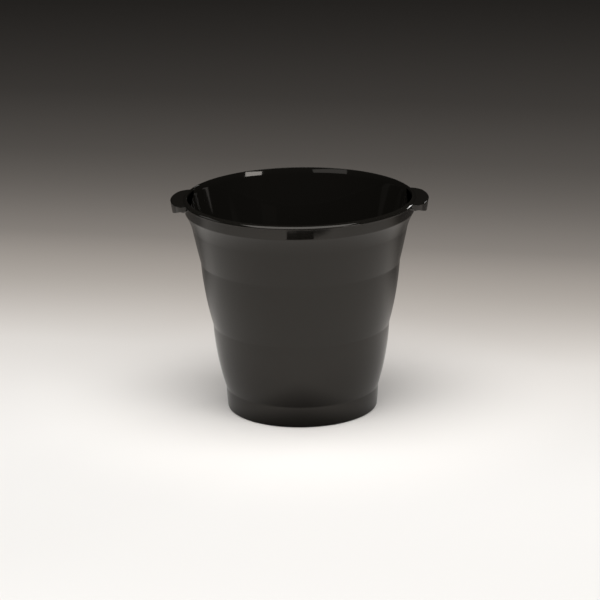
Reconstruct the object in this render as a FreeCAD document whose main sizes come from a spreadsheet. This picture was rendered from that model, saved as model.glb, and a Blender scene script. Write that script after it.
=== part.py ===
import FreeCAD, Part
import math
import os
import Sketcher
from FreeCAD import Placement, Rotation, Vector

# A tapered plastic bucket for one bottle and ice. It stands on the plane z = 0, its axis is Z
# and its two ears point along X. All lengths are millimetres and all angles degrees.
# The real bucket is one moulding. Here it is divided where the ears spring from the rim band,
# on the band's own outer face, so that each ear's finger pocket stays open.

sizes = {
    # the tub, from the floor up
    "tubHeight": 204.5,
    "footRadius": 70.8,
    "footChamfer": 1.6,
    "footRingWidth": 5.5,
    "footRecess": 2.4,
    "gateWellRadius": 5.0,
    "gateWellDepth": 0.5,
    "floorThickness": 2.8,
    "floorChamfer": 3.6,
    "wallThickness": 2.4,
    # the creases between the tiers, each at its height and radius, and how far a tier swells
    "lowCreaseHeight": 20.3,
    "lowCreaseRadius": 72.2,
    "lowTierBulge": 2.0,
    "midCreaseHeight": 82.0,
    "midCreaseRadius": 83.1,
    "midTierBulge": 1.5,
    "highCreaseHeight": 142.8,
    "highCreaseRadius": 93.4,
    # the flare under the rim, the upright band and the crowned lip, each under the one above
    "flareRise": 15.3,
    "flareRadius": 100.6,
    "flareHollow": 0.5,
    "bandHeight": 9.2,
    "bandRadius": 107.0,
    "lipHeight": 4.0,
    "lipProud": 2.0,
    "lipSideHeight": 1.4,
    "lipChamfer": 0.4,
    "crownWidth": 4.0,
    "shoulderWidth": 1.8,
    "shoulderDrop": 0.9,
    "mouthBevelDrop": 5.2,
    "mouthBevelWidth": 1.5,
    # the ears
    "earDrop": 2.1,
    "earReach": 13.5,
    "earHalfWidth": 33.0,
    "earNoseRadius": 60.0,
    "earShoulderRadius": 15.0,
    "earBlendRadius": 5.0,
    "earBlendBite": 0.5,
    "earPlateThickness": 2.2,
    "earSkirtThickness": 1.6,
    "earSkirtDepth": 11.6,
    "earSkirtDraft": 9.0,
    "earArchRadius": 68.0,
    "earEdgeChamfer": 0.6,
}

# how close an edge lies to the place by which it is found
near_enough = 0.01

doc = FreeCAD.newDocument("bucket")
sheet = doc.addObject("Spreadsheet::Sheet", "sizes")
for row, (alias, value) in enumerate(sizes.items(), start=1):
    sheet.set(f"A{row}", alias)
    sheet.set(f"B{row}", str(value))
    sheet.setAlias(f"B{row}", alias)
doc.recompute()


def value_of(rule):
    # the number that an expression on the sheet gives
    result = sheet.evalExpression(rule)
    return float(getattr(result, "Value", result))


def bind(sketch, kind, target, rule):
    # a dimension of a sketch, driven by an expression
    index = sketch.addConstraint(Sketcher.Constraint(kind, *target, value_of(rule)))
    sketch.setExpression(f"Constraints[{index}]", rule)


def add_sketch(body, name, role, lift=None):
    # a sketch on one of the body's own origin planes, raised off it by an expression
    sketch = body.newObject("Sketcher::SketchObject", name)
    plane = next(item for item in body.Origin.OriginFeatures if item.Role == role)
    sketch.AttachmentSupport = [(plane, "")]
    sketch.MapMode = "FlatFace"
    if lift:
        sketch.setExpression("AttachmentOffset.Base.z", lift)
    return sketch


def pin(sketch, edge, end, across, up):
    # one end of an edge, held at its place across and up from the sketch's origin
    for kind, rule in (("DistanceX", across), ("DistanceY", up)):
        if rule == "0":
            axis = -2 if kind == "DistanceX" else -1
            sketch.addConstraint(Sketcher.Constraint("PointOnObject", edge, end, axis))
        else:
            bind(sketch, kind, (-1, 1, edge, end), rule)


def outline(sketch, corners):
    # a closed outline; each corner is across, up and the bulge of the edge that leaves it
    places = [Vector(value_of(across), value_of(up), 0) for across, up, _ in corners]
    ends = []
    for index, (across, up, bulge) in enumerate(corners):
        start = places[index]
        stop = places[(index + 1) % len(corners)]
        if bulge is None:
            edge = sketch.addGeometry(Part.LineSegment(start, stop))
            ends.append((edge, 1, 2))
            continue
        swell = value_of(bulge)
        chord = (stop - start).Length
        radius = chord ** 2 / (8 * abs(swell)) + abs(swell) / 2
        side = Vector((stop - start).y, -(stop - start).x, 0).normalize()
        centre = (start + stop) * 0.5 - side * math.copysign(radius - abs(swell), swell)
        first, last = (start, stop) if swell > 0 else (stop, start)
        turn = [math.atan2(point.y - centre.y, point.x - centre.x) for point in (first, last)]
        circle = Part.Circle(centre, Vector(0, 0, 1), radius)
        edge = sketch.addGeometry(Part.ArcOfCircle(circle, turn[0], turn[1]))
        ends.append((edge, 1, 2) if swell > 0 else (edge, 2, 1))
        ahead = corners[(index + 1) % len(corners)]
        rule = f"((({ahead[0]}) - ({across}))^2 + (({ahead[1]}) - ({up}))^2) / 8"
        bind(sketch, "Radius", (edge,), f"{rule} / abs({bulge}) + abs({bulge}) / 2")
    for index, (across, up, _) in enumerate(corners):
        edge, start_end, stop_end = ends[index]
        pin(sketch, edge, start_end, across, up)
        ahead = ends[(index + 1) % len(corners)]
        sketch.addConstraint(Sketcher.Constraint("Coincident", edge, stop_end, ahead[0], ahead[1]))


def arcs_at(body, height, radius=None):
    # the names of the level circular edges at a height, and of a radius where one is given
    found = []
    for index, edge in enumerate(body.Tip.Shape.Edges, start=1):
        level = abs(edge.BoundBox.ZMin - value_of(height)) < near_enough
        if not level or not isinstance(edge.Curve, Part.Circle):
            continue
        if radius is None or abs(edge.Curve.Radius - value_of(radius)) < near_enough:
            found.append(f"Edge{index}")
    return found


def bevel(body, name, edges, rule):
    # a chamfer on named edges of the body's tip
    before = body.Tip
    chamfer = body.newObject("PartDesign::Chamfer", name)
    chamfer.Base = (before, edges)
    chamfer.setExpression("Size", rule)
    body.Tip = chamfer
    doc.recompute()


def make_tub():
    # floor, three tiers, flare, band and lip, as one section turned round Z
    body = doc.addObject("PartDesign::Body", "tub")
    body.Label = "tub"
    wall = "sizes.wallThickness"
    ring = "sizes.footRadius - sizes.footRingWidth"
    well = "sizes.footRecess + sizes.gateWellDepth"
    lip = "sizes.bandRadius + sizes.lipProud"
    lip_bottom = "sizes.tubHeight - sizes.lipHeight"
    band_bottom = f"{lip_bottom} - sizes.bandHeight"
    flare_bottom = f"{band_bottom} - sizes.flareRise"
    crest = f"{lip} - sizes.crownWidth"
    mouth = f"{crest} - sizes.mouthBevelWidth"
    mouth_top = "sizes.tubHeight - sizes.mouthBevelDrop"
    floor = "sizes.footRecess + sizes.floorThickness"
    tiers = [
        ("sizes.footRadius", "0", None),
        ("sizes.lowCreaseRadius", "sizes.lowCreaseHeight", "sizes.lowTierBulge"),
        ("sizes.midCreaseRadius", "sizes.midCreaseHeight", "sizes.midTierBulge"),
        ("sizes.highCreaseRadius", "sizes.highCreaseHeight", None),
        ("sizes.flareRadius", flare_bottom, "-sizes.flareHollow"),
    ]
    foot = [
        ("0", well, None),
        ("sizes.gateWellRadius", well, None),
        ("sizes.gateWellRadius", "sizes.footRecess", None),
        (ring, "sizes.footRecess", None),
        (ring, "0", None),
    ]
    rim = [
        ("sizes.bandRadius", band_bottom, None),
        ("sizes.bandRadius", lip_bottom, None),
        (lip, lip_bottom, None),
        (lip, f"{lip_bottom} + sizes.lipSideHeight", None),
        (f"{lip} - sizes.shoulderWidth", "sizes.tubHeight - sizes.shoulderDrop", None),
        (crest, "sizes.tubHeight", None),
        (mouth, mouth_top, None),
    ]
    # the inside runs straight from the mouth to the highest crease, and from there repeats the
    # creases, moved in by the wall, with one corner at the middle of each swell
    inside = []
    for lower, upper in zip(tiers[-3::-1], tiers[-2:0:-1]):
        inside.append((f"{upper[0]} - {wall}", upper[1], None))
        if lower[2]:
            middle = f"({lower[0]} + {upper[0]}) / 2 + {lower[2]} - {wall}"
            inside.append((middle, f"({lower[1]} + {upper[1]}) / 2", None))
    inside.append((f"sizes.footRadius - {wall}", floor, None))
    inside.append(("0", floor, None))

    section = add_sketch(body, "tubSection", "XZ_Plane")
    outline(section, foot + tiers + rim + inside)
    turned = body.newObject("PartDesign::Revolution", "tubWall")
    turned.Profile = section
    turned.ReferenceAxis = (section, ["V_Axis"])
    turned.Angle = 360
    body.Tip = turned
    doc.recompute()

    floor_edge = arcs_at(body, floor, f"sizes.footRadius - {wall}")
    bevel(body, "floorBevel", floor_edge, "sizes.floorChamfer")
    bevel(body, "footBevel", arcs_at(body, "0", "sizes.footRadius"), "sizes.footChamfer")
    bevel(body, "lipBevel", arcs_at(body, lip_bottom, lip), "sizes.lipChamfer")
    return body


def ear_outline(sketch, inset):
    # an ear seen from above, set in by the inset: a shallow nose, a rounder shoulder at each side,
    # a hollow blend that dies into the band, and a straight back that lies inside the band
    reach = "sizes.bandRadius + sizes.earReach"
    nose = f"(sizes.earNoseRadius - {inset})"
    shoulder = f"(sizes.earShoulderRadius - {inset})"
    blend = f"(sizes.earBlendRadius + {inset})"
    # the centres of the three arcs, the same for every inset
    nose_x = f"({reach} - sizes.earNoseRadius)"
    inner = "(sizes.earNoseRadius - sizes.earShoulderRadius)"
    shoulder_y = "(sizes.earHalfWidth - sizes.earShoulderRadius)"
    shoulder_x = f"({nose_x} + sqrt({inner}^2 - {shoulder_y}^2))"
    near = "(sizes.earShoulderRadius + sizes.earBlendRadius)"
    far = "(sizes.bandRadius + sizes.earBlendRadius - sizes.earBlendBite)"
    apart = f"hypot({shoulder_x}; {shoulder_y})"
    along = f"(({far}^2 - {near}^2 + {apart}^2) / (2 * {apart}))"
    aside = f"sqrt({far}^2 - {along}^2)"
    blend_x = f"(({along} * {shoulder_x} - {aside} * {shoulder_y}) / {apart})"
    blend_y = f"(({along} * {shoulder_y} + {aside} * {shoulder_x}) / {apart})"
    # where the arcs meet
    cheek_x = f"({nose_x} + ({shoulder_x} - {nose_x}) * {nose} / {inner})"
    cheek_y = f"({shoulder_y} * {nose} / {inner})"
    neck_x = f"({shoulder_x} + ({blend_x} - {shoulder_x}) * {shoulder} / {near})"
    neck_y = f"({shoulder_y} + ({blend_y} - {shoulder_y}) * {shoulder} / {near})"
    foot_x = f"({blend_x} * (1 - {blend} / {far}))"
    foot_y = f"({blend_y} * (1 - {blend} / {far}))"
    back = "(sizes.bandRadius - 2 * sizes.earReach)"

    def rise(radius, x1, y1, x2, y2):
        # how far an arc of the radius stands off its chord
        half = f"(hypot({x1} - {x2}; {y1} - {y2}) / 2 / {radius})"
        return f"({radius} * (1 - sqrt(1 - {half}^2)))"

    nose_rise = f"({nose_x} + {nose} - {cheek_x})"
    shoulder_rise = rise(shoulder, cheek_x, cheek_y, neck_x, neck_y)
    blend_rise = "-" + rise(blend, neck_x, neck_y, foot_x, foot_y)
    outline(sketch, [
        (back, f"-{foot_y}", None),
        (foot_x, f"-{foot_y}", blend_rise),
        (neck_x, f"-{neck_y}", shoulder_rise),
        (cheek_x, f"-{cheek_y}", nose_rise),
        (cheek_x, cheek_y, shoulder_rise),
        (neck_x, neck_y, blend_rise),
        (foot_x, foot_y, None),
        (back, foot_y, None),
    ])


def cut(body, name, sketch, depth=None, both=False):
    # a pocket, to a depth or right through, checked to take something off
    before = body.Tip.Shape.Volume
    pocket = body.newObject("PartDesign::Pocket", name)
    pocket.Profile = sketch
    pocket.Midplane = both
    if depth:
        pocket.Type = "Length"
        pocket.setExpression("Length", depth)
    else:
        pocket.Type = "ThroughAll"
    body.Tip = pocket
    doc.recompute()
    if pocket.Shape.Volume >= before:
        raise RuntimeError(f"{name} takes nothing off")


def seat_disc(body, name, lift, radius):
    # a round sketch about the axis, to cut an ear back to the tub's own face
    sketch = add_sketch(body, name, "XY_Plane", lift)
    circle = Part.Circle(Vector(), Vector(0, 0, 1), value_of(radius))
    disc = sketch.addGeometry(circle)
    sketch.addConstraint(Sketcher.Constraint("Coincident", disc, 3, -1, 1))
    bind(sketch, "Radius", (disc,), radius)
    return sketch


def make_ear(label, turn):
    # a flat plate that springs from the lip, and a drafted skirt turned down round its edge
    # whose lower edge is arched, deepest at the nose
    body = doc.addObject("PartDesign::Body", label)
    body.Label = label
    top = "sizes.tubHeight - sizes.earDrop"
    under = f"{top} - sizes.earPlateThickness"
    bottom = f"{top} - sizes.earSkirtDepth"
    rise = "(sizes.earSkirtDepth - sizes.earPlateThickness)"

    plan = add_sketch(body, f"{label}Plan", "XY_Plane", top)
    ear_outline(plan, "0")
    block = body.newObject("PartDesign::Pad", f"{label}Block")
    block.Profile = plan
    block.Reversed = True
    block.setExpression("Length", "sizes.earSkirtDepth")
    block.setExpression("TaperAngle", "-sizes.earSkirtDraft")
    body.Tip = block
    doc.recompute()

    bevel(body, f"{label}Brow", arcs_at(body, top), "sizes.earEdgeChamfer")

    # the pocket's own walls are upright, so that it lifts straight off its core
    hollow = add_sketch(body, f"{label}Hollow", "XY_Plane", under)
    lean = "sizes.earSkirtDepth * tan(sizes.earSkirtDraft)"
    ear_outline(hollow, f"(sizes.earSkirtThickness + {lean})")
    cut(body, f"{label}Pocket", hollow, rise)

    arch = add_sketch(body, f"{label}ArchSection", "YZ_Plane")
    half = f"sqrt(2 * sizes.earArchRadius * {rise} - {rise}^2)"
    aside = "(sizes.earHalfWidth + 2 * sizes.earBlendRadius)"
    below = f"{bottom} - {rise}"
    outline(arch, [
        (f"-{aside}", below, None),
        (aside, below, None),
        (aside, under, None),
        (half, under, f"-{rise}"),
        (f"-{half}", under, None),
        (f"-{aside}", under, None),
    ])
    cut(body, f"{label}Arch", arch, both=True)

    cut(body, f"{label}BandSeat", seat_disc(body, f"{label}BandDisc", top, "sizes.bandRadius"))
    lip = seat_disc(body, f"{label}LipDisc", top, "sizes.bandRadius + sizes.lipProud")
    cut(body, f"{label}LipSeat", lip, "sizes.lipHeight - sizes.earDrop")

    body.Placement = Placement(Vector(), Rotation(Vector(0, 0, 1), turn))
    return body


tub = make_tub()
parts = [tub, make_ear("ear_right", 0), make_ear("ear_left", 180)]
doc.recompute()

failed = [item.Name for item in doc.Objects if {"Invalid", "Error"} & set(item.State)]
if failed:
    raise RuntimeError(f"features failed: {failed}")
for part in parts:
    if part.Shape.isNull() or not part.Shape.isValid():
        raise RuntimeError(f"{part.Label} has no valid shape")

os.makedirs("parts", exist_ok=True)
for part in parts:
    part.Shape.exportStep(f"parts/{part.Label}.step")
    print(part.Label, "volume", round(part.Shape.Volume), "box", part.Shape.BoundBox)
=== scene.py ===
import math

import bpy
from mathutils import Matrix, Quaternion, Vector


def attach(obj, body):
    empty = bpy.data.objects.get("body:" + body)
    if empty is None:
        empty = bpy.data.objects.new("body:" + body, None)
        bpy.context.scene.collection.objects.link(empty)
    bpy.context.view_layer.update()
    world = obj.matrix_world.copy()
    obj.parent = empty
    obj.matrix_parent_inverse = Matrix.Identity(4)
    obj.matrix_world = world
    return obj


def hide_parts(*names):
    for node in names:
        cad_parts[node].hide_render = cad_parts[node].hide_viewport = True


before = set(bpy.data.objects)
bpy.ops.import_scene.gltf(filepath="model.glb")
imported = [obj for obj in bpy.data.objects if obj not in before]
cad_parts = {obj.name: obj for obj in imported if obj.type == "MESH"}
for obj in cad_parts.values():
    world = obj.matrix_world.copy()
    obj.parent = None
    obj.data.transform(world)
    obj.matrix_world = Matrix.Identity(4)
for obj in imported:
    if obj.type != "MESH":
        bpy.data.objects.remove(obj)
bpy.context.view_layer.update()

# A gloss black moulded bucket on a pale floor. Metres, Z up, the ears point along X.

samePlace = 1e-6  # places nearer to each other than this count as one
roundSteps = 5  # faces round each rounding
smoothAngle = math.radians(40)  # the steepest edge that is shaded smooth


def deselectAll():
    if bpy.context.object and bpy.context.object.mode != "OBJECT":
        bpy.ops.object.mode_set(mode="OBJECT")
    bpy.ops.object.select_all(action="DESELECT")


def startAtPoint(name, place):
    # a new mesh of one selected vertex, left in edit mode
    deselectAll()
    bpy.ops.mesh.primitive_plane_add(location=(0, 0, 0))
    piece = bpy.context.object
    piece.name = name
    piece.data.name = name
    bpy.ops.object.mode_set(mode="EDIT")
    bpy.ops.mesh.select_mode(type="VERT")
    bpy.ops.mesh.select_all(action="SELECT")
    bpy.ops.mesh.merge(type="CENTER")
    bpy.ops.transform.translate(value=place)
    return piece


def drawChain(points):
    # pulls the selected vertex on from point to point
    for here, there in zip(points, points[1:]):
        step = Vector(there) - Vector(here)
        bpy.ops.mesh.extrude_vertices_move(TRANSFORM_OT_translate={"value": step})


def selectWhere(piece, test, kind):
    # selects the vertices or the edges whose places all pass the test
    bpy.ops.mesh.select_mode(type=kind)
    bpy.ops.mesh.select_all(action="DESELECT")
    bpy.ops.object.mode_set(mode="OBJECT")
    mesh = piece.data
    for item in mesh.vertices if kind == "VERT" else mesh.edges:
        corners = [item.index] if kind == "VERT" else item.vertices
        item.select = all(test(mesh.vertices[corner].co) for corner in corners)
    bpy.ops.object.mode_set(mode="EDIT")


def shadeSmooth():
    bpy.ops.object.mode_set(mode="OBJECT")
    bpy.ops.object.shade_smooth_by_angle(angle=smoothAngle)


def arcBetween(start, stop, swell, steps):
    # points after start, up to stop, on the arc that stands swell off the chord, to its right
    across, up = start
    chord = Vector((stop[0] - across, stop[1] - up))
    count = range(1, steps + 1)
    if not swell:
        return [(across + chord.x * step / steps, up + chord.y * step / steps) for step in count]
    radius = chord.length ** 2 / (8 * abs(swell)) + abs(swell) / 2
    side = Vector((chord.y, -chord.x)).normalized()
    centre = Vector((across, up)) + chord / 2 - side * math.copysign(radius - abs(swell), swell)
    first = math.atan2(up - centre.y, across - centre.x)
    last = math.atan2(stop[1] - centre.y, stop[0] - centre.x)
    sweep = (last - first + math.pi) % (2 * math.pi) - math.pi
    turns = [first + sweep * step / steps for step in count]
    return [(centre.x + radius * math.cos(turn), centre.y + radius * math.sin(turn)) for turn in turns]


# the tub

tubValues = {
    "wall": 0.0024,
    "segments": 256,  # faces round the axis
    # the corners up the outside: radius, height, how far the edge that leaves each one swells
    "tiers": [
        (0.0708, 0.0, 0.0002),
        (0.0722, 0.0203, 0.0020),
        (0.0831, 0.0820, 0.0015),
        (0.0934, 0.1428, 0.0002),
        (0.1006, 0.1760, -0.0006),
        (0.1070, 0.1913, 0),
    ],
    "lipRadius": 0.1090,
    "lipBottom": 0.2005,
    "lipShoulder": 0.2019,
    "crestRadius": 0.1050,
    "crestHeight": 0.2045,
    "crownSwell": 0.00045,
    "mouthRadius": 0.1035,
    "mouthHeight": 0.1993,
    "footRing": 0.0055,
    "footRecess": 0.0024,
    "gateRadius": 0.005,
    "gateDepth": 0.0005,
    "floorTop": 0.0052,
    # faces up each tier, the band, the lip's side and the crown
    "tierSteps": 20,
    "bandSteps": 12,
    "lipSteps": 4,
    "crownSteps": 8,
    # roundings: the foot, the creases, the floor's corner inside, the lip's lower edge, the crest,
    # the mouth and the inner side of the standing ring
    "footRound": 0.0026,
    "creaseRound": 0.0005,
    "floorRound": 0.0055,
    "lipRound": 0.0005,
    "crestRound": 0.0004,
    "mouthRound": 0.0006,
    "ringRound": 0.0006,
}


def tubSection(values):
    # the section's corners, from the axis underneath, up the outside and down the inside: radius,
    # height, the swell and the steps of the edge that leaves the corner, and its rounding
    wall = values["wall"]
    tiers = values["tiers"]
    foot = tiers[0][0]
    band = tiers[-1][0]
    ring = foot - values["footRing"]
    well = values["footRecess"] + values["gateDepth"]
    steps = values["tierSteps"]
    corners = [
        (0, well, 0, 1, 0),
        (values["gateRadius"], well, 0, 1, 0),
        (values["gateRadius"], values["footRecess"], 0, 1, 0),
        (ring, values["footRecess"], 0, 1, values["ringRound"]),
        (ring, 0, 0, 1, values["ringRound"]),
    ]
    for index, (radius, height, swell) in enumerate(tiers):
        rounding = values["creaseRound"] if index else values["footRound"]
        stretch = values["bandSteps"] if radius == band else steps
        corners.append((radius, height, swell, stretch, rounding))
    corners += [
        (band, values["lipBottom"], 0, 1, 0),
        (values["lipRadius"], values["lipBottom"], 0, values["lipSteps"], values["lipRound"]),
        (values["lipRadius"], values["lipShoulder"], values["crownSwell"], values["crownSteps"], 0),
        (values["crestRadius"], values["crestHeight"], 0, 1, values["crestRound"]),
        (values["mouthRadius"], values["mouthHeight"], 0, steps, values["mouthRound"]),
    ]
    # the inside runs straight from the mouth to the highest crease, repeats the creases and the
    # swells between them, and runs straight from the lowest crease to the floor
    for index in range(len(tiers) - 3, 0, -1):
        radius, height, _ = tiers[index]
        swell = tiers[index - 1][2] if index > 1 else 0
        corners.append((radius - wall, height, -swell, steps if swell else 1, values["creaseRound"]))
    corners.append((foot - wall, values["floorTop"], 0, 1, values["floorRound"]))
    corners.append((0, values["floorTop"], 0, 1, 0))
    return corners


def makeTub(values):
    corners = tubSection(values)
    points = [corners[0][:2]]
    for here, there in zip(corners, corners[1:]):
        points += arcBetween(here[:2], there[:2], here[2], here[3])
    places = [(across, 0, up) for across, up in points]
    tub = startAtPoint("tub_moulding", places[0])
    drawChain(places)
    for across, up, _, _, rounding in corners:
        if not rounding:
            continue
        corner = Vector((across, 0, up))
        selectWhere(tub, lambda place: (place - corner).length < samePlace, "VERT")
        bpy.ops.mesh.bevel(offset=rounding, segments=roundSteps, affect="VERTICES")
    bpy.ops.mesh.select_all(action="SELECT")
    bpy.ops.mesh.spin(steps=values["segments"], angle=2 * math.pi, center=(0, 0, 0), axis=(0, 0, 1))
    bpy.ops.mesh.select_all(action="SELECT")
    bpy.ops.mesh.remove_doubles(threshold=samePlace)
    bpy.ops.mesh.normals_make_consistent(inside=False)
    shadeSmooth()
    return tub


# the ears

earValues = {
    "reach": 0.1205,
    "halfWidth": 0.033,
    "noseRadius": 0.060,
    "shoulderRadius": 0.015,
    "blendRadius": 0.005,
    "blendBite": 0.0005,
    "bandRadius": 0.107,
    "backRadius": 0.1058,  # the hidden back, inside the band's wall
    "top": 0.2024,
    "plate": 0.0022,
    "skirt": 0.0016,
    "depth": 0.0116,
    "draft": math.radians(9),
    "archRadius": 0.068,
    "hemGap": 0.0001,  # the least height that the arch leaves to the pocket's wall
    "browRound": 0.0008,
    "noseSteps": 24,
    "shoulderSteps": 12,
    "blendSteps": 8,
    "backSteps": 12,
}


def earOutline(values):
    # the ear seen from above: nose, shoulders and blends, then back along the inside of the band
    noseX = values["reach"] - values["noseRadius"]
    inner = values["noseRadius"] - values["shoulderRadius"]
    shoulderY = values["halfWidth"] - values["shoulderRadius"]
    shoulderX = noseX + math.sqrt(inner ** 2 - shoulderY ** 2)
    near = values["shoulderRadius"] + values["blendRadius"]
    far = values["bandRadius"] + values["blendRadius"] - values["blendBite"]
    apart = math.hypot(shoulderX, shoulderY)
    along = (far ** 2 - near ** 2 + apart ** 2) / (2 * apart)
    aside = math.sqrt(far ** 2 - along ** 2)
    blend = Vector((along * shoulderX - aside * shoulderY, along * shoulderY + aside * shoulderX)) / apart
    shoulder = Vector((shoulderX, shoulderY))

    def arc(centre, radius, first, last, steps):
        turns = [first + (last - first) * step / steps for step in range(steps + 1)]
        return [centre + radius * Vector((math.cos(turn), math.sin(turn))) for turn in turns]

    cheek = math.atan2(shoulderY, shoulderX - noseX)
    neck = math.atan2(blend.y - shoulderY, blend.x - shoulderX)
    foot = math.atan2(blend.y, blend.x)
    half = arc(Vector((noseX, 0)), values["noseRadius"], 0, cheek, values["noseSteps"])
    half += arc(shoulder, values["shoulderRadius"], cheek, neck, values["shoulderSteps"])[1:]
    half += arc(blend, values["blendRadius"], neck - math.pi, foot - math.pi, values["blendSteps"])[1:]
    backTurn = math.atan2(half[-1].y, half[-1].x)
    half += arc(Vector((0, 0)), values["backRadius"], backTurn, 0, values["backSteps"])
    other = [Vector((point.x, -point.y)) for point in reversed(half[1:-1])]
    return half + other


def makeEar(values):
    outline = earOutline(values)
    top = values["top"]
    depth = values["depth"]
    lean = depth * math.tan(values["draft"])
    places = [(point.x, point.y, top) for point in outline]

    def atTop(place):
        return abs(place.z - top) < samePlace

    ear = startAtPoint("ear_right_moulding", places[0])
    drawChain(places)
    bpy.ops.mesh.select_all(action="SELECT")
    bpy.ops.mesh.edge_face_add()
    bpy.ops.mesh.select_mode(type="FACE")
    bpy.ops.mesh.select_all(action="SELECT")
    # the block, drafted inwards as it goes down, then the pocket up inside it
    bpy.ops.mesh.normals_make_consistent(inside=False)
    bpy.ops.object.mode_set(mode="OBJECT")
    facesUp = ear.data.polygons[0].normal.z > 0
    bpy.ops.object.mode_set(mode="EDIT")
    if facesUp:
        bpy.ops.mesh.flip_normals()
    bpy.ops.mesh.inset(thickness=lean, depth=depth)
    bpy.ops.mesh.inset(thickness=values["skirt"], depth=0)
    rise = depth - values["plate"]
    bpy.ops.mesh.extrude_region_move(TRANSFORM_OT_translate={"value": (0, 0, rise)})
    selectWhere(ear, atTop, "EDGE")
    bpy.ops.mesh.edge_face_add()
    bpy.ops.mesh.select_all(action="SELECT")
    bpy.ops.mesh.normals_make_consistent(inside=False)
    archHem(ear, values)
    # the rounded brow
    selectWhere(ear, atTop, "EDGE")
    bpy.ops.mesh.bevel(offset=values["browRound"], segments=roundSteps, affect="EDGES")
    shadeSmooth()
    return ear


def archHem(ear, values):
    # the skirt's lower edge rises on an arch to both sides; each corner slides up its own wall
    low = values["top"] - values["depth"]
    ceiling = values["top"] - values["plate"]
    radius = values["archRadius"]
    gap = values["hemGap"]
    bpy.ops.object.mode_set(mode="OBJECT")
    mesh = ear.data
    above = {}
    for edge in mesh.edges:
        ends = [mesh.vertices[corner] for corner in edge.vertices]
        ends.sort(key=lambda end: end.co.z)
        if ends[0].co.z < low + samePlace and ends[1].co.z > low + gap:
            above[ends[0].index] = ends[1].co.copy()
    for corner, upper in above.items():
        place = mesh.vertices[corner].co.copy()
        aside = min(abs(place.y), radius)
        rise = min(radius - math.sqrt(radius ** 2 - aside ** 2), ceiling - low - gap)
        mesh.vertices[corner].co += (upper - place) * (rise / (upper.z - place.z))
    bpy.ops.object.mode_set(mode="EDIT")


def makeOtherEar(ear):
    # the left ear is the right one turned half round
    deselectAll()
    ear.select_set(True)
    bpy.context.view_layer.objects.active = ear
    bpy.ops.object.duplicate()
    other = bpy.context.object
    other.name = "ear_left_moulding"
    other.data.name = "ear_left_moulding"
    other.rotation_euler.z = math.pi
    bpy.ops.object.transform_apply(location=True, rotation=True, scale=True)
    return other


# the finish

plasticValues = {
    "colour": (0.0067, 0.0061, 0.0051, 1),
    "tint": (1.0, 0.94, 0.87, 1),
    "ior": 1.45,
    "roughness": 0.045,
    # how much rougher the gloss gets in patches, and the scale and detail of these
    "haze": 0.02,
    "hazeScale": 38,
    "hazeDetail": 4,
    # how strong the ripple is, its scale, detail and depth
    "ripple": 0.02,
    "rippleScale": 240,
    "rippleDetail": 2,
    "rippleDepth": 0.0002,
}


def addNoise(nodes, links, place, scale, detail):
    noise = nodes.new("ShaderNodeTexNoise")
    noise.inputs["Scale"].default_value = scale
    noise.inputs["Detail"].default_value = detail
    links.new(place, noise.inputs["Vector"])
    return noise.outputs["Fac"]


def makeSheenGroup(values):
    # slow changes of gloss over a moulded surface, and its faint ripple
    group = bpy.data.node_groups.new("mouldedSheen", "ShaderNodeTree")
    for name in ("Roughness", "Haze", "Ripple"):
        group.interface.new_socket(name, in_out="INPUT", socket_type="NodeSocketFloat")
    group.interface.new_socket("Roughness", in_out="OUTPUT", socket_type="NodeSocketFloat")
    group.interface.new_socket("Normal", in_out="OUTPUT", socket_type="NodeSocketVector")
    nodes = group.nodes
    links = group.links
    entry = nodes.new("NodeGroupInput")
    leave = nodes.new("NodeGroupOutput")
    place = nodes.new("ShaderNodeTexCoord").outputs["Object"]
    cloud = addNoise(nodes, links, place, values["hazeScale"], values["hazeDetail"])
    spread = nodes.new("ShaderNodeMath")
    spread.operation = "MULTIPLY_ADD"
    links.new(cloud, spread.inputs[0])
    links.new(entry.outputs["Haze"], spread.inputs[1])
    links.new(entry.outputs["Roughness"], spread.inputs[2])
    links.new(spread.outputs[0], leave.inputs["Roughness"])
    peel = addNoise(nodes, links, place, values["rippleScale"], values["rippleDetail"])
    bump = nodes.new("ShaderNodeBump")
    bump.inputs["Distance"].default_value = values["rippleDepth"]
    links.new(peel, bump.inputs["Height"])
    links.new(entry.outputs["Ripple"], bump.inputs["Strength"])
    links.new(bump.outputs["Normal"], leave.inputs["Normal"])
    return group


def makePlastic(values, sheenGroup):
    material = bpy.data.materials.new("gloss_black_plastic")
    material.use_nodes = True
    nodes = material.node_tree.nodes
    links = material.node_tree.links
    shader = nodes["Principled BSDF"]
    shader.inputs["Base Color"].default_value = values["colour"]
    shader.inputs["IOR"].default_value = values["ior"]
    shader.inputs["Specular Tint"].default_value = values["tint"]
    sheen = nodes.new("ShaderNodeGroup")
    sheen.node_tree = sheenGroup
    sheen.inputs["Roughness"].default_value = values["roughness"]
    sheen.inputs["Haze"].default_value = values["haze"]
    sheen.inputs["Ripple"].default_value = values["ripple"]
    links.new(sheen.outputs["Roughness"], shader.inputs["Roughness"])
    links.new(sheen.outputs["Normal"], shader.inputs["Normal"])
    return material


def makeMatt(name):
    # a material without gloss, whose colour is set afterwards
    material = bpy.data.materials.new(name)
    material.use_nodes = True
    shader = material.node_tree.nodes["Principled BSDF"]
    shader.inputs["Roughness"].default_value = 1
    shader.inputs["Specular IOR Level"].default_value = 0
    return material


# the floor

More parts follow.
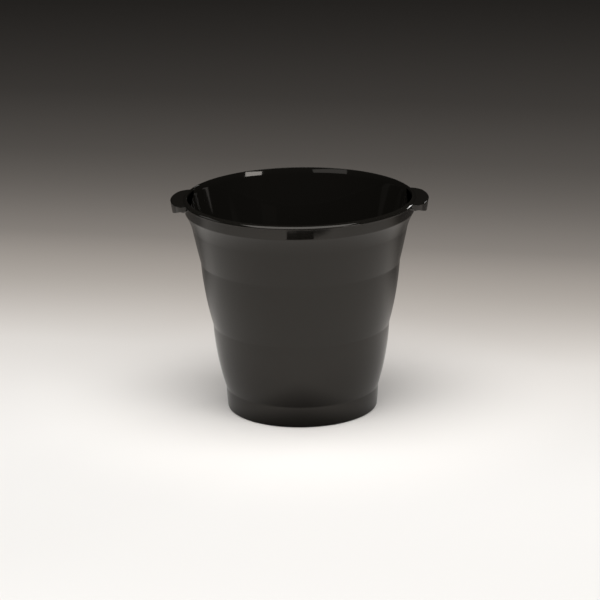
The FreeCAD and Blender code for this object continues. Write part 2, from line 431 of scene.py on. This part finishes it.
floorValues = {
    "size": 16.0,
    # how pale the floor is at each distance back from the bucket's axis
    "tones": [
        (-0.95, 0.84), (-0.6, 0.80), (-0.45, 0.75), (-0.3, 0.76), (-0.1, 0.79), (0.15, 0.67),
        (0.25, 0.535), (0.35, 0.405), (0.45, 0.33), (0.55, 0.235), (0.75, 0.138), (0.95, 0.096),
        (1.3, 0.058), (2.1, 0.031),
    ],
    # the slant darkens the floor towards +X: a painted falloff of light to that side
    "slant": 0.20,  # how much a place's X adds to its distance back
    # the tint in front and further back, and the distances back between which it changes
    "nearTint": (1.0, 0.978, 0.95),
    "farTint": (1.0, 0.91, 0.825),
    "tintStart": 0.0,
    "tintEnd": 0.4,
    # painted shade: round the foot the gloss mirrors a floor darkened as by a contact shadow, from this
    # far to this far out, down to this share, drawn in sideways by the last number
    "footShade": (0.064, 0.140, 0.12, 1.6),
    # more painted shade behind the bucket, seen in the gloss, from this depth to this depth, by up to
    # this share
    "rearShade": (0.10, 0.32, 0.6),
    "shadeColour": (0, 0, 0, 1),
    # painted light: round the foot the camera sees a paler floor that lightens the bucket's cast shadow,
    # from this far to this far out, by this share
    "footPaintedLight": (0.08, 0.30, 0.5),
    "paintedLightColour": (1, 0.96, 0.915, 1),
}


def runSmoothly(nodes, links, value, start, stop, first, last):
    # goes smoothly from the first number to the last as the value goes from start to stop
    share = nodes.new("ShaderNodeMapRange")
    share.interpolation_type = "SMOOTHSTEP"
    share.inputs["From Min"].default_value = start
    share.inputs["From Max"].default_value = stop
    share.inputs["To Min"].default_value = first
    share.inputs["To Max"].default_value = last
    links.new(value, share.inputs["Value"])
    return share.outputs["Result"]


def joinTwo(nodes, links, operation, first, second):
    both = nodes.new("ShaderNodeMath")
    both.operation = operation
    links.new(first, both.inputs[0])
    links.new(second, both.inputs[1])
    return both.outputs[0]


def lengthOf(nodes, links, place):
    reach = nodes.new("ShaderNodeVectorMath")
    reach.operation = "LENGTH"
    links.new(place, reach.inputs[0])
    return reach.outputs["Value"]


def paintOver(nodes, links, colour, paint, amount, ray):
    # lays the paint over the colour by the amount, for one kind of ray only
    mix = nodes.new("ShaderNodeMix")
    mix.data_type = "RGBA"
    mix.inputs["B"].default_value = paint
    links.new(joinTwo(nodes, links, "MULTIPLY", amount, ray), mix.inputs["Factor"])
    links.new(colour, mix.inputs["A"])
    return mix.outputs["Result"]


def floorColour(nodes, links, axes, values):
    # the tones by distance back, slanted a little as a painted falloff of light towards +X, and warmer
    # further back
    tones = values["tones"]
    near = tones[0][0]
    far = tones[-1][0]
    slant = nodes.new("ShaderNodeMath")
    slant.operation = "MULTIPLY_ADD"
    slant.inputs[1].default_value = values["slant"]
    share = nodes.new("ShaderNodeMapRange")
    share.inputs["From Min"].default_value = near
    share.inputs["From Max"].default_value = far
    ramp = nodes.new("ShaderNodeValToRGB")
    ramp.color_ramp.interpolation = "B_SPLINE"
    # new elements start in the middle and get their places below
    while len(ramp.color_ramp.elements) < len(tones):
        ramp.color_ramp.elements.new(0.5)
    for element, (depth, tone) in zip(ramp.color_ramp.elements, tones):
        element.position = (depth - near) / (far - near)
        warmth = (depth - values["tintStart"]) / (values["tintEnd"] - values["tintStart"])
        tint = Vector(values["nearTint"]).lerp(Vector(values["farTint"]), min(max(warmth, 0), 1))
        element.color = [tone * part for part in tint] + [1]
    links.new(axes.outputs["X"], slant.inputs[0])
    links.new(axes.outputs["Y"], slant.inputs[2])
    links.new(slant.outputs[0], share.inputs["Value"])
    links.new(share.outputs["Result"], ramp.inputs["Fac"])
    return ramp.outputs["Color"]


def glossShade(nodes, links, place, axes, values):
    # how much painted shade the mirrored floor gets, round the foot and behind the bucket
    inner, outer, least, squeeze = values["footShade"]
    narrow = nodes.new("ShaderNodeVectorMath")
    narrow.operation = "MULTIPLY"
    narrow.inputs[1].default_value = (squeeze, 1, 1)
    links.new(place, narrow.inputs[0])
    around = lengthOf(nodes, links, narrow.outputs["Vector"])
    foot = runSmoothly(nodes, links, around, inner, outer, 1 - least, 0)
    start, stop, most = values["rearShade"]
    rear = runSmoothly(nodes, links, axes.outputs["Y"], start, stop, 0, most)
    return joinTwo(nodes, links, "MAXIMUM", foot, rear)


def makeFloor(values):
    deselectAll()
    bpy.ops.mesh.primitive_plane_add(size=values["size"], location=(0, 0, 0))
    floor = bpy.context.object
    floor.name = "floor"
    material = makeMatt("pale_floor")
    nodes = material.node_tree.nodes
    links = material.node_tree.links
    place = nodes.new("ShaderNodeTexCoord").outputs["Object"]
    axes = nodes.new("ShaderNodeSeparateXYZ")
    links.new(place, axes.inputs["Vector"])
    rays = nodes.new("ShaderNodeLightPath").outputs
    colour = floorColour(nodes, links, axes, values)
    shade = glossShade(nodes, links, place, axes, values)
    # painted shade on the floor, seen only in the gloss
    colour = paintOver(nodes, links, colour, values["shadeColour"], shade, rays["Is Glossy Ray"])
    # painted light round the foot, for the camera only, lightening the cast shadow there
    nearest, farthest, whiter = values["footPaintedLight"]
    around = lengthOf(nodes, links, place)
    lift = runSmoothly(nodes, links, around, nearest, farthest, whiter, 0)
    colour = paintOver(nodes, links, colour, values["paintedLightColour"], lift, rays["Is Camera Ray"])
    links.new(colour, nodes["Principled BSDF"].inputs["Base Color"])
    floor.data.materials.append(material)


# the dark flag, seen only as a mirror image in the rim's band

flagValues = {
    "corners": [
        (-0.13, -0.62), (0.16, -0.64), (0.19, -0.765), (0.46, -0.69), (0.26, -0.80), (0.02, -0.825),
        (-0.15, -0.80),
    ],
    "height": 0.001,
    "colour": (0.004, 0.004, 0.004, 1),
}


def makeFlag(values):
    # a black sheet just over the floor, in front of the bucket and out of the picture
    corners = [(across, deep, values["height"]) for across, deep in values["corners"]]
    flag = startAtPoint("dark_flag", corners[0])
    drawChain(corners)
    bpy.ops.mesh.select_all(action="SELECT")
    bpy.ops.mesh.edge_face_add()
    bpy.ops.object.mode_set(mode="OBJECT")
    material = makeMatt("black_flag")
    material.node_tree.nodes["Principled BSDF"].inputs["Base Color"].default_value = values["colour"]
    flag.data.materials.append(material)
    flag.visible_camera = False
    flag.visible_diffuse = False
    flag.visible_shadow = False


# the lights

lightValues = {
    # each lamp: its turn from the front towards +X, its height angle, distance, width, height,
    # power, and whether the gloss mirrors it
    "lamps": {
        "key_box": (-3, 74, 2.5, 3.4, 3.0, 66.0, False),
        "ceiling_card": (0, 77, 2.2, 2.6, 1.6, 33.0, True),
        "side_box": (52, 20, 2.2, 0.70, 0.34, 5.0, True),
        "left_card": (-33, 23, 1.8, 1.15, 0.28, 0.85, True),
        "rear_card": (-108, 36, 2.2, 1.1, 0.5, 1.1, True),
        "rear_box": (138, 17, 2.2, 0.42, 0.34, 3.0, True),
    },
    "aim": (0.0, 0.0, 0.12),
    "worldColour": (0.006, 0.0055, 0.005, 1),
}


def makeLamp(name, lamp, aim):
    turn, lift, distance, width, height, power, mirrored = lamp
    turn = math.radians(turn)
    lift = math.radians(lift)
    away = Vector((math.sin(turn) * math.cos(lift), -math.cos(turn) * math.cos(lift), math.sin(lift)))
    deselectAll()
    bpy.ops.object.light_add(type="AREA", location=Vector(aim) + away * distance)
    box = bpy.context.object
    box.name = name
    box.rotation_euler = away.to_track_quat("Z", "Y").to_euler()
    box.data.shape = "RECTANGLE"
    box.data.size = width
    box.data.size_y = height
    box.data.energy = power
    box.visible_camera = False
    box.visible_glossy = mirrored


def makeLights(values):
    for name, lamp in values["lamps"].items():
        makeLamp(name, lamp, values["aim"])
    world = bpy.data.worlds.new("studio")
    bpy.context.scene.world = world
    world.use_nodes = True
    world.node_tree.nodes["Background"].inputs["Color"].default_value = values["worldColour"]


# the camera, at the photograph's viewing angle

cameraValues = {
    "place": (0.05728, -2.34372, 0.83161),
    "aim": (-0.00098, -0.00002, 0.10223),
    "roll": math.radians(-0.897),
    "lens": 156.24,
    "sensor": 36.0,
    "clipStart": 0.05,
    "clipEnd": 40,
}


def makeCamera(values):
    deselectAll()
    bpy.ops.object.camera_add(location=values["place"])
    camera = bpy.context.object
    camera.name = "photo_camera"
    look = Vector(values["aim"]) - Vector(values["place"])
    turn = look.to_track_quat("-Z", "Y")
    camera.rotation_euler = (turn @ Quaternion((0, 0, 1), values["roll"])).to_euler()
    camera.data.lens = values["lens"]
    camera.data.sensor_width = values["sensor"]
    camera.data.clip_start = values["clipStart"]
    camera.data.clip_end = values["clipEnd"]
    bpy.context.scene.camera = camera


tub = makeTub(tubValues)
print("tub made,", len(tub.data.polygons), "faces")
earRight = makeEar(earValues)
earLeft = makeOtherEar(earRight)
print("ears made,", len(earRight.data.polygons), "faces each")

plastic = makePlastic(plasticValues, makeSheenGroup(plasticValues))
for piece, node in ((tub, "tub"), (earRight, "ear_right"), (earLeft, "ear_left")):
    piece.data.materials.append(plastic)
    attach(piece, "root")
    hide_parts(node)
print("finish given")

makeFloor(floorValues)
makeFlag(flagValues)
makeLights(lightValues)
makeCamera(cameraValues)
bpy.context.scene.view_settings.view_transform = "Standard"
print("studio set")
